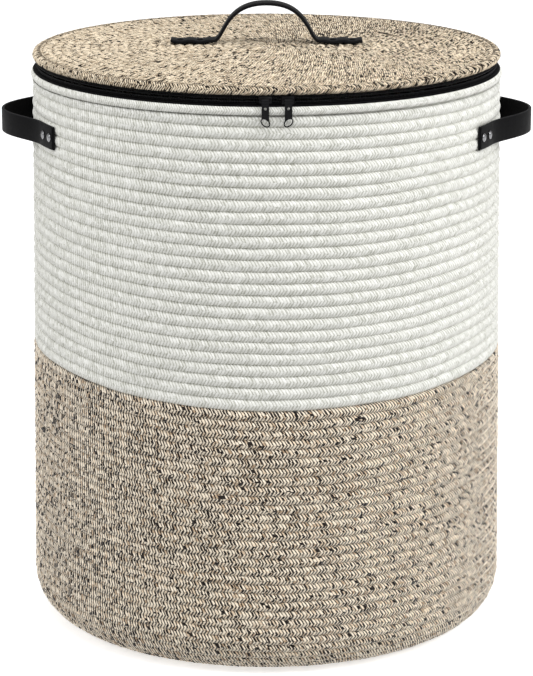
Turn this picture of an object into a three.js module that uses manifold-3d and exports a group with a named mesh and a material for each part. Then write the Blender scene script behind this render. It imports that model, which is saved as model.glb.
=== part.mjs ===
// A round laundry hamper sewn from coiled cotton rope, with a zipped, hinged rope lid.
// Millimetres, +Z up. The origin is the centre of the base, on the floor. The front is -Y.
import * as THREE from "three";
import { mergeVertices } from "three/addons/utils/BufferGeometryUtils.js";
import Module from "manifold-3d";

const wasm = await Module();
wasm.setup();

// ---- Driving dimensions ----
const gap = 0.3; // between pieces that touch on the real object
const bodyRadius = 203; // the wall's face at the rim
const bodyFlare = 5.5; // how much wider the wall's face is at the floor
const bodyHeight = 490; // floor to the top of the rim rope
const wallThickness = 7.5;
const cornerReach = 36; // the rounding between base and wall, measured inwards
const cornerRise = 38; // and measured upwards
const colourChangeHeight = 243; // where the brown rope ends and the white rope begins
const rimProud = 1.7; // how far the rim rope stands outside the wall's face
const rimHeight = 9;
const baseThickness = 7.4;

const lidInset = 0.5; // the lid's edge stands this far inside the wall's face
const lidThickness = 7;
const lidCrown = 3; // how much the middle of the lid stands above its edge
const lidEdgeRounding = 3;

const zipBandHeight = 7.5; // the opening between rim and lid that the zip closes
const zipInset = 4; // from the wall's face in to the middle of the tape and teeth
const tapeThickness = 0.7;
const tapeSewnDepth = 12; // how far the lower tape reaches down inside the rim
const tapeLidFlange = 13; // how far the upper tape reaches in under the lid
const teethHeight = 1.3;
const teethThickness = 1.8;
const teethSeparation = 1.4; // room for the sliders' posts between the two rows
const hingeOutset = 1; // the lid's folding line stands this far behind the wall's face
const hingeHalfAngle = 7; // degrees of tape either side of the back that hold the lid
const zipEndMargin = 2.5; // degrees between the teeth's ends and the hinge tape
const stopLength = 3;
const stopThickness = 3.4; // wide enough to catch the sliders' plates
const zipMeetAngle = 2.35; // degrees, where the two sliders meet, to the right of the front

const sliderLength = 10;
const sliderPlate = 1.2;
const sliderClearance = 0.4; // between the slider's plates and the teeth
const sliderSpacing = 18; // between the two sliders when the lid is zipped shut
const bailReach = 4.2; // from the slider's face to the bail's rod
const bailRod = 1.4;
const bailFoot = 1.1;
const pullLength = 21.3; // from the bail's rod to the tip
const pullWidth = 6;
const pullThickness = 1.2;
const pullBarrel = 1.75; // radius of the rolled head that turns on the rod
const pullHole = 1.2; // radius of the small hole under the head
const pullHoleDrop = 6.2;
const pullRingLong = 4.5; // half lengths of the slanting ring at the tip
const pullRingShort = 3.15;
const pullRingHoleLong = 3.6;
const pullRingHoleShort = 2.25;
const pullRingTilt = 42; // degrees
const pullRingRise = 3.8; // from the tip to the middle of the ring

const strapThickness = 2.4;
const strapWidth = 20;
const strapDrop = 47; // middle of the side handles below the rim
const strapHeight = bodyHeight - strapDrop;
const strapEndAngle = 29; // degrees from the middle of the handle to the strap's end
const strapLiftAngle = 20.5; // degrees, where the strap leaves the wall
const strapStandOff = 27.5; // from the wall to the outside of the loop
const sideRivetAngles = [23, 27];

const lidStrapSpan = 166;
const lidStrapWidth = 18;
const lidStrapThickness = 2.2;
const lidStrapFoot = 46; // from the middle to where the strap rises
const lidStrapRise = 36;
const lidStrapOffset = 8; // the handle sits a little behind the middle of the lid
const lidRivetDistances = [58, 75];

const rivetPost = 1.4; // radius
const sideRivetCap = 4; // radius
const lidRivetCap = 3.4;
const rivetCapHeight = 1.6;
const rivetBackHeight = 1.4;

const roundSteps = 72; // facets round the basket
const capSteps = 10; // facets round a rivet

// ---- Sizes that follow from them ----
const wallInside = bodyRadius - wallThickness;
const rimWidth = wallThickness + rimProud;
const lidRadius = bodyRadius - lidInset;
const zipRadius = bodyRadius - zipInset;
const hingeRadius = bodyRadius + hingeOutset;
const rimBottom = bodyHeight - rimHeight;
const lidBottom = bodyHeight + zipBandHeight;
const zipMiddle = bodyHeight + zipBandHeight / 2;
const teethInside = zipRadius - teethThickness / 2;
const teethOutside = zipRadius + teethThickness / 2;
const lowerTeethTop = zipMiddle - teethSeparation / 2;
const upperTeethBottom = zipMiddle + teethSeparation / 2;
const hingeGapStart = 180 - hingeHalfAngle;
const teethEnd = hingeGapStart - zipEndMargin;
const sliderFace = teethOutside + sliderClearance + sliderPlate;
const rodRadius = sliderFace + bailReach; // distance of the bail's rod from the basket's axis

// ---- Helpers ----
const degrees = THREE.MathUtils.degToRad;
const faceAt = (z) => bodyRadius + bodyFlare * (1 - z / bodyHeight);
const footRadius = faceAt(cornerRise);

// A closed geometry as a solid for cutting and joining.
function solidOf(geometry) {
  const bare = geometry.clone();
  bare.deleteAttribute("normal");
  bare.deleteAttribute("uv");
  const merged = mergeVertices(bare, 1e-4);
  return new wasm.Manifold(
    new wasm.Mesh({
      numProp: 3,
      vertProperties: new Float32Array(merged.attributes.position.array),
      triVerts: new Uint32Array(merged.index.array),
    }),
  );
}

function geometryOf(solid) {
  const mesh = solid.getMesh();
  const geometry = new THREE.BufferGeometry();
  geometry.setAttribute("position", new THREE.BufferAttribute(mesh.vertProperties, 3));
  geometry.setIndex(new THREE.BufferAttribute(mesh.triVerts, 1));
  geometry.computeVertexNormals();
  return geometry;
}

function cut(geometry, tools) {
  return geometryOf(tools.reduce((left, tool) => left.subtract(solidOf(tool)), solidOf(geometry)));
}

function join(geometries) {
  return geometryOf(geometries.map(solidOf).reduce((all, next) => all.add(next)));
}

// A solid of revolution about Z. The profile is [radius, height] points, counter-clockwise.
function turned(profile, steps = roundSteps) {
  const points = profile.map(([r, z]) => new THREE.Vector2(r, z));
  const closed = profile[0][0] > 0 || profile[profile.length - 1][0] > 0;
  if (closed) points.push(points[0].clone());
  return new THREE.LatheGeometry(points, steps).rotateX(Math.PI / 2);
}

// The outline, counter-clockwise, of a band of even thickness along a line of [x, y] points.
function bandOutline(line, thickness) {
  const points = line.map(([x, y]) => new THREE.Vector2(x, y));
  const normal = (a, b) => new THREE.Vector2(a.y - b.y, b.x - a.x).normalize();
  const side = (sign) =>
    points.map((p, i) => {
      const before = normal(points[Math.max(i - 1, 0)], points[Math.max(i, 1)]);
      const last = points.length - 1;
      const after = normal(points[Math.min(i, last - 1)], points[Math.min(i + 1, last)]);
      const mitre = before.clone().add(after).normalize();
      const offset = (sign * thickness) / 2 / mitre.dot(before);
      return [p.x + offset * mitre.x, p.y + offset * mitre.y];
    });
  return [...side(-1), ...side(1).reverse()];
}

const shapeOf = (outline) => new THREE.Shape(outline.map(([x, y]) => new THREE.Vector2(x, y)));

// A flat shape drawn in X and Z, with its thickness along Y and centred on it.
function plate(shape, thickness) {
  return new THREE.ExtrudeGeometry(shape, { depth: thickness, bevelEnabled: false, curveSegments: 10 })
    .rotateX(Math.PI / 2)
    .translate(0, thickness / 2, 0);
}

// A wedge with its point on the basket's axis, which spans the given angles round it.
function wedge(fromDegrees, toDegrees) {
  const reach = bodyRadius * 1.3;
  const corners = [fromDegrees, (fromDegrees + toDegrees) / 2, toDegrees].map(
    (a) => new THREE.Vector2(reach * Math.sin(degrees(a)), -reach * Math.cos(degrees(a))),
  );
  const shape = new THREE.Shape([new THREE.Vector2(0, 0), ...corners]);
  return new THREE.ExtrudeGeometry(shape, { depth: bodyHeight * 2, bevelEnabled: false });
}

// A box whose middle is at the given distance in front of the axis.
function block(width, depth, height, distance, z, x = 0) {
  return new THREE.BoxGeometry(width, depth, height).translate(x, -distance, z);
}

// ---- Materials ----
const finish = (color, roughness, metalness = 0) =>
  new THREE.MeshStandardMaterial({ color, roughness, metalness });
const whiteRope = finish(0xdcddd5, 0.95);
const brownRope = finish(0xb09f88, 0.95);
const blackTape = finish(0x111114, 0.9);
const blackNylon = finish(0x161618, 0.5);
const blackLeather = finish(0x161719, 0.55);
const blackMetal = finish(0x0e0e10, 0.35, 0.8);
const darkNickel = finish(0x6d6d70, 0.3, 1);

const hamper = new THREE.Group();

// Adds a piece to the hamper, turned round the basket's axis to the given angle from the front.
function place(name, geometry, material, angle = 0) {
  const mesh = new THREE.Mesh(geometry, material);
  mesh.name = name;
  mesh.rotation.z = degrees(angle);
  hamper.add(mesh);
  return mesh;
}

// ---- Basket ----
function base() {
  const radius = footRadius - cornerReach;
  return turned([
    [0, 0],
    [radius, 0],
    [radius, baseThickness],
    [0, baseThickness],
  ]);
}

// The brown wall starts at the base, turns up round the corner and stops at the colour change.
function lowerWall() {
  const steps = 4;
  const start = footRadius - cornerReach + gap;
  const quarter = (inset) =>
    Array.from({ length: steps + 1 }, (_, i) => {
      const turn = (Math.PI / 2) * (i / steps);
      const across = (cornerReach - gap - inset) * Math.sin(turn);
      return [start + across, cornerRise - (cornerRise - inset) * Math.cos(turn)];
    });
  return turned([
    ...quarter(0),
    [faceAt(colourChangeHeight), colourChangeHeight],
    [faceAt(colourChangeHeight) - wallThickness, colourChangeHeight],
    ...quarter(wallThickness).reverse(),
  ]);
}

// A radial hole for a rivet's post, drawn at the front and turned to its angle.
function wallHole(angle) {
  return new THREE.CylinderGeometry(rivetPost + gap, rivetPost + gap, wallThickness * 4, capSteps)
    .translate(0, -bodyRadius, strapHeight)
    .rotateZ(degrees(angle));
}

function upperWall() {
  const low = colourChangeHeight + gap;
  const high = rimBottom - gap;
  const shell = turned([
    [faceAt(low), low],
    [faceAt(high), high],
    [faceAt(high) - wallThickness, high],
    [faceAt(low) - wallThickness, low],
  ]);
  return cut(shell, sideRivetPlaces().map(({ side, turn }) => wallHole(side * 90 + turn)));
}

function rimRope() {
  const steps = 8;
  const middle = wallInside + rimWidth / 2;
  return turned(
    Array.from({ length: steps }, (_, i) => {
      const a = (2 * Math.PI * i) / steps;
      return [middle + (rimWidth / 2) * Math.cos(a), rimBottom + (rimHeight / 2) * (1 + Math.sin(a))];
    }),
  );
}

// ---- Zip and hinge tapes ----
// The lower tape is sewn inside the rim and leans out over its rope to the given points.
function lowerTape(...ends) {
  const sewn = wallInside - gap - tapeThickness / 2;
  const over = bodyHeight + gap + tapeThickness / 2;
  const line = [
    [sewn, bodyHeight - tapeSewnDepth],
    [sewn, bodyHeight - 1.6],
    [sewn + 1.6, over],
    ...ends,
  ];
  return turned(bandOutline(line, tapeThickness));
}

// The upper tape hangs to the given point from a flange that is sewn under the lid's edge.
function upperTape(fold, end) {
  const flange = lidBottom - gap - tapeThickness / 2;
  return turned(bandOutline([[zipRadius - tapeLidFlange, flange], [fold, flange], end], tapeThickness));
}

function teethRow(bottom) {
  return turned([
    [teethOutside, bottom],
    [teethOutside, bottom + teethHeight],
    [teethInside, bottom + teethHeight],
    [teethInside, bottom],
  ]);
}

function degreesOfLength(length, radius) {
  return THREE.MathUtils.radToDeg(length / radius);
}

// The zip's part of a ring of tape, and the part at the back that the lid hinges on.
const zipPart = (ring) => cut(ring, [wedge(hingeGapStart, 360 - hingeGapStart)]);
const teethPart = (ring) => cut(ring, [wedge(teethEnd, 360 - teethEnd)]);
function hingePart(ring) {
  const slit = degreesOfLength(gap, zipRadius);
  const kept = wedge(hingeGapStart + slit, 360 - hingeGapStart - slit);
  return geometryOf(solidOf(ring).intersect(solidOf(kept)));
}

// A crimped stop at the end of a row of teeth.
function stop(bottom) {
  return block(stopLength, stopThickness, teethHeight, zipRadius, bottom + teethHeight / 2);
}

// ---- Sliders and pulls ----
// Two plates either side of the teeth, a post between the rows, and a bail for the pull.
function slider() {
  const overlap = 0.2;
  const innerBottom = lowerTeethTop - teethHeight / 2;
  const innerTop = lidBottom - gap - tapeThickness - gap;
  const outerBottom = bodyHeight + sliderClearance;
  const outerTop = lidBottom - 2 * gap;
  const between = teethThickness + 2 * sliderClearance;
  const postHeight = teethSeparation - 2 * gap;
  const footReach = bailReach + bailRod / 2 + overlap;
  const footX = pullWidth / 2 + sliderClearance + bailFoot / 2;
  const plates = [
    [sliderFace - sliderPlate / 2, outerBottom, outerTop],
    [teethInside - sliderClearance - sliderPlate / 2, innerBottom, innerTop],
  ].map(([distance, low, high]) => block(sliderLength, sliderPlate, high - low, distance, (low + high) / 2));
  const post = block(2.4, between + 2 * overlap, postHeight, zipRadius, zipMiddle);
  const feet = [-footX, footX].map((x) =>
    block(bailFoot, footReach, bailRod, sliderFace - overlap + footReach / 2, zipMiddle, x),
  );
  const rod = new THREE.CylinderGeometry(bailRod / 2, bailRod / 2, 2 * footX, 10)
    .rotateZ(Math.PI / 2)
    .translate(0, -rodRadius, zipMiddle);
  return join([...plates, post, ...feet, rod]);
}

// A flat pull whose rolled head turns on the bail, with a slanting ring at its tip.
// lean is 1 or -1 and says which way the ring slants.
function pull(lean) {
  const half = pullWidth / 2;
  const ringZ = pullRingRise - pullLength;
  const strip = shapeOf([[-half, ringZ], [half, ringZ], [half, 0], [-half, 0]]);
  const oval = (long, short) =>
    new THREE.Shape().absellipse(0, ringZ, long, short, 0, 2 * Math.PI, false, lean * degrees(pullRingTilt));
  const along = (radius, length) =>
    new THREE.CylinderGeometry(radius, radius, length, 12).rotateZ(Math.PI / 2);
  const head = along(pullBarrel, pullWidth);
  const ring = plate(oval(pullRingLong, pullRingShort), pullThickness);
  const bore = along(bailRod / 2 + gap, pullWidth * 2);
  const window = plate(oval(pullRingHoleLong, pullRingHoleShort), pullThickness * 3);
  const hole = new THREE.CylinderGeometry(pullHole, pullHole, pullThickness * 3, 8)
    .translate(0, 0, -pullHoleDrop);
  return cut(join([plate(strip, pullThickness), ring, head]), [bore, window, hole])
    .translate(0, -rodRadius, zipMiddle);
}

// ---- Lid ----
const crownAt = (r) => lidCrown * (1 - (r / lidRadius) ** 2);

function lidTopAt(r) {
  return lidBottom + lidThickness + crownAt(r);
}

function lid() {
  const steps = 3;
  const flat = lidRadius - lidEdgeRounding;
  const radii = Array.from({ length: steps + 1 }, (_, i) => (flat * i) / steps);
  const disc = turned([
    ...radii.map((r) => [r, lidBottom + crownAt(r)]),
    [lidRadius, lidBottom + lidThickness * 0.35],
    [lidRadius, lidBottom + lidThickness * 0.65],
    ...radii.reverse().map((r) => [r, lidTopAt(r)]),
  ]);
  const holes = lidRivetPlaces().map((x) =>
    new THREE.CylinderGeometry(rivetPost + gap, rivetPost + gap, lidThickness * 4, capSteps)
      .rotateX(Math.PI / 2)
      .translate(x, lidStrapOffset, lidBottom),
  );
  return cut(disc, holes);
}

// ---- Handles ----
const strapSeat = faceAt(strapHeight - strapWidth / 2);

// Half of the side handle's plan, from the strap's end along the wall and out to the loop's tip.
function sideStrapLine() {
  const seat = strapSeat + gap + strapThickness / 2;
  const tip = strapSeat + strapStandOff - strapThickness / 2;
  const onWall = (a) => new THREE.Vector2(seat * Math.sin(degrees(a)), -seat * Math.cos(degrees(a)));
  const lift = onWall(strapLiftAngle);
  const leaving = degrees(strapLiftAngle + 3);
  const loop = new THREE.CubicBezierCurve(
    lift,
    lift.clone().add(new THREE.Vector2(-28 * Math.cos(leaving), -28 * Math.sin(leaving))),
    new THREE.Vector2(18, -tip),
    new THREE.Vector2(0, -tip),
  );
  const arcSteps = 3;
  const wallPart = Array.from({ length: arcSteps }, (_, i) =>
    onWall(strapEndAngle + ((strapLiftAngle - strapEndAngle) * i) / arcSteps),
  );
  return mirrored([...wallPart, ...loop.getPoints(9)]);
}

// Half of a line that ends on x = 0, and its mirror image, as [x, y] points.
function mirrored(half) {
  const line = half.map((p) => [p.x, p.y]);
  return [...line, ...line.slice(0, -1).reverse().map(([x, y]) => [-x, y])];
}

function sideStrap() {
  const band = new THREE.ExtrudeGeometry(shapeOf(bandOutline(sideStrapLine(), strapThickness)), {
    depth: strapWidth,
    bevelEnabled: false,
  }).translate(0, 0, strapHeight - strapWidth / 2);
  return cut(band, sideRivetAngles.flatMap((a) => [wallHole(a), wallHole(-a)]));
}

function sideRivetPlaces() {
  const turns = [...sideRivetAngles.map((a) => -a), ...sideRivetAngles];
  return [-1, 1].flatMap((side) => turns.map((turn, i) => ({ side, turn, number: i + 1 })));
}

function lidStrap() {
  const foot = lidStrapThickness / 2;
  const crest = lidStrapRise - foot;
  const end = lidStrapSpan / 2;
  const rise = new THREE.CubicBezierCurve(
    new THREE.Vector2(-lidStrapFoot, foot),
    new THREE.Vector2(10 - lidStrapFoot, foot),
    new THREE.Vector2(8 - lidStrapFoot, crest),
    new THREE.Vector2(0, crest),
  );
  const line = mirrored([new THREE.Vector2(-end, foot), ...rise.getPoints(9)]);
  const band = plate(shapeOf(bandOutline(line, lidStrapThickness)), lidStrapWidth);
  const holes = lidRivetPlaces().map((x) =>
    new THREE.CylinderGeometry(rivetPost + gap, rivetPost + gap, lidStrapThickness * 4, capSteps)
      .rotateX(Math.PI / 2)
      .translate(x, 0, 0),
  );
  return cut(band, holes).translate(0, lidStrapOffset, lidTopAt(0) + gap);
}

function lidRivetPlaces() {
  return lidRivetDistances.flatMap((x) => [-x, x]).sort((a, b) => a - b);
}

// ---- Rivets ----
// Each is a domed cap with a post, and a flat cap that the post is set into. The axis is Y.
function rivet(capRadius, grip) {
  const post = grip + rivetBackHeight / 2;
  return new THREE.LatheGeometry(
    [
      new THREE.Vector2(0, -post),
      new THREE.Vector2(rivetPost, -post),
      new THREE.Vector2(rivetPost, 0),
      new THREE.Vector2(capRadius, 0),
      new THREE.Vector2(capRadius * 0.8, rivetCapHeight * 0.75),
      new THREE.Vector2(0, rivetCapHeight),
    ],
    capSteps,
  );
}

function rivetBack(capRadius) {
  const bore = rivetPost + gap;
  const floor = -rivetBackHeight / 2 - gap;
  return new THREE.LatheGeometry(
    [
      new THREE.Vector2(0, -rivetBackHeight),
      new THREE.Vector2(capRadius, -rivetBackHeight),
      new THREE.Vector2(capRadius, 0),
      new THREE.Vector2(bore, 0),
      new THREE.Vector2(bore, floor),
      new THREE.Vector2(0, floor),
    ],
    capSteps,
  );
}

// ---- Assembly ----
place("base_coil", base(), brownRope);
place("lower_wall_coil", lowerWall(), brownRope);
place("upper_wall_coil", upperWall(), whiteRope);
place("rim_rope", rimRope(), whiteRope);
const tapeLean = bodyHeight + gap + tapeThickness;
const lowerTapeTop = lowerTeethTop - teethHeight - gap;
const upperTapeBottom = upperTeethBottom + teethHeight + gap;
const foldOffset = 0.45; // the hinge tapes' ends stop this far from the folding line
const foldEnd = hingeRadius - gap;
const overRim = [zipRadius, tapeLean - tapeThickness / 2];
place("zip_tape_lower", zipPart(lowerTape(overRim, [zipRadius, lowerTapeTop])), blackTape);
place("hinge_tape_lower", hingePart(lowerTape(overRim, [foldEnd, zipMiddle - foldOffset])), blackTape);
place("zip_teeth_lower", teethPart(teethRow(lowerTeethTop - teethHeight)), blackNylon);

place("lid_coil", lid(), brownRope);
place("zip_tape_upper", zipPart(upperTape(zipRadius, [zipRadius, upperTapeBottom])), blackTape);
place("hinge_tape_upper", hingePart(upperTape(zipRadius, [foldEnd, zipMiddle + foldOffset])), blackTape);
place("zip_teeth_upper", teethPart(teethRow(upperTeethBottom)), blackNylon);

const stopAngle = teethEnd + degreesOfLength(stopLength / 2 + gap, zipRadius);
const sliderAngle = degreesOfLength(sliderSpacing / 2, zipRadius);
for (const [side, sign] of [["left", -1], ["right", 1]]) {
  place(`zip_stop_lower_${side}`, stop(lowerTeethTop - teethHeight), blackMetal, sign * stopAngle);
  place(`zip_stop_upper_${side}`, stop(upperTeethBottom), blackMetal, sign * stopAngle);
  place(`zip_slider_${side}`, slider(), blackMetal, zipMeetAngle + sign * sliderAngle);
  place(`zip_pull_${side}`, pull(sign), blackMetal, zipMeetAngle + sign * sliderAngle);
  place(`side_strap_${side}`, sideStrap(), blackLeather, sign * 90);
}

const strapOutside = strapSeat + gap + strapThickness;
const wallBack = faceAt(strapHeight) - wallThickness - gap;
const sideGrip = strapOutside + gap - wallBack;
for (const { side, turn, number } of sideRivetPlaces()) {
  const name = side < 0 ? "left" : "right";
  const seat = (geometry, distance) => geometry.rotateZ(Math.PI).translate(0, -distance, strapHeight);
  const angle = side * 90 + turn;
  const cap = seat(rivet(sideRivetCap, sideGrip), strapOutside + gap);
  const back = seat(rivetBack(sideRivetCap), wallBack);
  place(`side_rivet_${name}_${number}`, cap, darkNickel, angle);
  place(`side_rivet_back_${name}_${number}`, back, darkNickel, angle);
}

place("lid_strap", lidStrap(), blackLeather);
const lidStrapTop = lidTopAt(0) + gap + lidStrapThickness;
lidRivetPlaces().forEach((x, i) => {
  const under = lidBottom + crownAt(Math.hypot(x, lidStrapOffset)) - 2 * gap;
  const seat = (geometry, z) => geometry.rotateX(Math.PI / 2).translate(x, lidStrapOffset, z);
  const cap = seat(rivet(lidRivetCap, lidStrapTop + gap - under), lidStrapTop + gap);
  place(`lid_rivet_${i + 1}`, cap, blackMetal);
  place(`lid_rivet_back_${i + 1}`, seat(rivetBack(lidRivetCap), under), blackMetal);
});

export default hamper;
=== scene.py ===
"""Round laundry hamper of coiled rope: the visible surfaces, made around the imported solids."""
import math

import bmesh
import bpy
from bpy.props import FloatProperty, FloatVectorProperty, IntProperty, PointerProperty
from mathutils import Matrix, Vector


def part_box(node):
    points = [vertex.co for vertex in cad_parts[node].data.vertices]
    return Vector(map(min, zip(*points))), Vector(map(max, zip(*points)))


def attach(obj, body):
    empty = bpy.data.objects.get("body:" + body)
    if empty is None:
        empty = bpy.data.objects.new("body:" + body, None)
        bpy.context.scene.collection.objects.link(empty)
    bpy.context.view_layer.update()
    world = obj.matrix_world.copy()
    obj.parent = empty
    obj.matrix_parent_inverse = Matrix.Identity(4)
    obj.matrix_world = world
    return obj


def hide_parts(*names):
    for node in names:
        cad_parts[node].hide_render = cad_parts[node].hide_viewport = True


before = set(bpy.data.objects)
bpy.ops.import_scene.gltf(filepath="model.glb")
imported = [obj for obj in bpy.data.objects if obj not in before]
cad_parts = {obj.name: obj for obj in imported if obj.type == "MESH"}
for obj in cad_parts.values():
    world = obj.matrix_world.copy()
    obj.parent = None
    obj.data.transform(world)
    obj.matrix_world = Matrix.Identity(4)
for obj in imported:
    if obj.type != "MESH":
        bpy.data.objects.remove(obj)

bl_info = {
    "name": "Rope Hamper",
    "version": (1, 0, 0),
    "blender": (4, 5, 0),
    "location": "3D View > Sidebar > Hamper",
    "description": "Coiled rope laundry hamper with a zipped lid and leather handles",
    "category": "Object",
}

SIDES = ("left", "right")
FULL_TURN = 2 * math.pi
WHITE = (1.0, 1.0, 1.0)
RIVETS = range(1, 5)
# Paler colour of the straps' narrow edges: partly the leather's own edge colour, partly painted highlight.
LEATHER_EDGE_AND_HIGHLIGHT = (0.010, 0.010, 0.011)
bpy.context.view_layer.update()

# ---- Places taken from the frame, in metres ----
LOWER_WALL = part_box("lower_wall_coil")
UPPER_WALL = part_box("upper_wall_coil")
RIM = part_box("rim_rope")
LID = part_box("lid_coil")
RIM_TOP = RIM[1][2]
RIM_RADIUS = RIM[1][0]
FOOT_RADIUS = LOWER_WALL[1][0]
RIM_BOTTOM = UPPER_WALL[1][2]
COLOUR_CHANGE = LOWER_WALL[1][2]
LID_RADIUS = LID[1][0]
LID_BOTTOM = LID[0][2]


# ---- Small helpers ----
def new_object(name, mesh):
    piece = bpy.data.objects.new(name, mesh)
    bpy.context.scene.collection.objects.link(piece)
    return piece


def mesh_of(name, points, edges=(), faces=()):
    mesh = bpy.data.meshes.new(name)
    mesh.from_pydata([tuple(p) for p in points], list(edges), list(faces))
    mesh.update()
    return mesh


def face_outwards(mesh):
    """Turns the faces round if the closed mesh is inside out."""
    mesh.calc_loop_triangles()
    volume = 0.0
    for triangle in mesh.loop_triangles:
        a, b, c = (mesh.vertices[i].co for i in triangle.vertices)
        volume += a.dot(b.cross(c))
    if volume < 0:
        mesh.flip_normals()


def baked(source, name):
    """The evaluated object as a plain mesh in a new object; the source is removed."""
    graph = bpy.context.evaluated_depsgraph_get()
    mesh = bpy.data.meshes.new_from_object(source.evaluated_get(graph), depsgraph=graph)
    mesh.name = name
    bpy.data.objects.remove(source)
    return new_object(name, mesh)


def finished(piece, body, slot, nodes=()):
    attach(piece, body)
    if nodes:
        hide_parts(*nodes)
    return piece


def smooth_faces(mesh):
    for polygon in mesh.polygons:
        polygon.use_smooth = True


def revolved(name, outline, segments):
    """A closed ring: the closed outline of (radius, height) turned about the upright axis."""
    points = []
    for i in range(segments):
        a = FULL_TURN * i / segments
        points.extend((radius * math.sin(a), -radius * math.cos(a), height) for radius, height in outline)
    size = len(outline)
    faces = []
    for i in range(segments):
        here = i * size
        beyond = (i + 1) % segments * size
        for k in range(size):
            ahead = (k + 1) % size
            faces.append((here + k, here + ahead, beyond + ahead, beyond + k))
    mesh = mesh_of(name, points, (), faces)
    face_outwards(mesh)
    smooth_faces(mesh)
    return new_object(name, mesh)


def paint(piece, finish):
    """Gives the piece the material of that name."""
    piece.data.materials.clear()
    piece.data.materials.append(bpy.data.materials[finish])


# ---- Node arithmetic ----
class Number:
    """A node socket that adds a Math node for each operator used on it."""

    def __init__(self, tree, socket):
        self.tree = tree
        self.socket = socket

    def do(self, operation, *others):
        return self.tree.maths(operation, self, *others)

    def __add__(self, other):
        return self.do("ADD", other)

    def __radd__(self, other):
        return self.do("ADD", other)

    def __sub__(self, other):
        return self.do("SUBTRACT", other)

    def __rsub__(self, other):
        return self.tree.maths("SUBTRACT", other, self)

    def __mul__(self, other):
        return self.do("MULTIPLY", other)

    def __rmul__(self, other):
        return self.do("MULTIPLY", other)

    def __truediv__(self, other):
        return self.do("DIVIDE", other)

    def __gt__(self, other):
        return self.do("GREATER_THAN", other)

    def __lt__(self, other):
        return self.do("LESS_THAN", other)

    def clamped(self):
        return self.do("MAXIMUM", 0.0).do("MINIMUM", 1.0)


class Nodes:
    """A node tree, with one method that adds any node."""

    def __init__(self, tree):
        self.tree = tree

    def add(self, kind, inputs=None, **settings):
        node = self.tree.nodes.new(kind)
        stops = settings.pop("stops", None)
        for key, value in settings.items():
            setattr(node, key, value)
        if stops:
            ramp = node.color_ramp
            while len(ramp.elements) < len(stops):
                ramp.elements.new(0.5)
            for element, (place, colour) in zip(ramp.elements, stops):
                element.position = place
                element.color = (*colour, 1.0)
        for key, value in (inputs or {}).items():
            self.feed(node.inputs[key], value)
        return node

    def feed(self, socket, value):
        if isinstance(value, Number):
            self.tree.links.new(value.socket, socket)
        elif isinstance(value, bpy.types.NodeSocket):
            self.tree.links.new(value, socket)
        else:
            socket.default_value = value

    def close(self, given, result, geometry):
        """Ends a geometry tree: plain smooth mesh in the given material."""
        solid = self.add("GeometryNodeRealizeInstances", {"Geometry": geometry})
        smooth = self.add("GeometryNodeSetShadeSmooth", {"Geometry": solid.outputs[0]})
        painted = self.add(
            "GeometryNodeSetMaterial", {"Geometry": smooth.outputs[0], "Material": given.outputs["Material"]}
        )
        self.feed(result.inputs[0], painted.outputs[0])

    def maths(self, operation, *values):
        node = self.add("ShaderNodeMath", dict(enumerate(values)), operation=operation)
        return Number(self, node.outputs[0])

    def position(self):
        return self.add("ShaderNodeTexCoord").outputs["Object"]

    def out(self, node, key=0):
        return Number(self, node.outputs[key])

    def combined(self, x, y, z):
        node = self.add("ShaderNodeCombineXYZ", {0: x, 1: y, 2: z})
        return node.outputs[0]

    def separated(self, vector):
        node = self.add("ShaderNodeSeparateXYZ", {0: vector})
        return [self.out(node, i) for i in range(3)]

    def noise(self, vector, scale, detail=2.0, roughness=0.5):
        node = self.add(
            "ShaderNodeTexNoise", {"Vector": vector, "Scale": scale, "Detail": detail, "Roughness": roughness}
        )
        return self.out(node, 0)

    def random(self, vector):
        return self.out(self.add("ShaderNodeTexWhiteNoise", {"Vector": vector}), "Value")

    def mix(self, amount, first, second, blend="MIX"):
        node = self.add(
            "ShaderNodeMix", {0: amount, 6: first, 7: second}, data_type="RGBA", blend_type=blend
        )
        return node.outputs[2]


def colour(values):
    return (*values, 1.0)


# ---- Materials ----
def new_material(name):
    material = bpy.data.materials.new(name)
    material.use_nodes = True
    nodes = Nodes(material.node_tree)
    surface = material.node_tree.nodes["Principled BSDF"]
    return nodes, surface


def set_surface(surface, **values):
    """Sets the constant inputs of the shader: their names in lower case, with underscores."""
    labels = {socket.name.lower().replace(" ", "_"): socket.name for socket in surface.inputs}
    for key, value in values.items():
        surface.inputs[labels[key]].default_value = value


def bump(nodes, height, strength, distance):
    node = nodes.add("ShaderNodeBump", {"Height": height, "Strength": strength, "Distance": distance})
    return node.outputs[0]


YARNS = 2.0
LENGTHS_ROUND = 10.0
FIRST_YARN_SHARE = 1.0
OTHER_YARN_SHARE = 0.4
GAP_START = 0.35
CREASE_SHADE = 0.45
FIBRE_SHADE = 1.1
STRAND_SHADE = 0.3
SPECK_SHADE = 0.9


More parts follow.
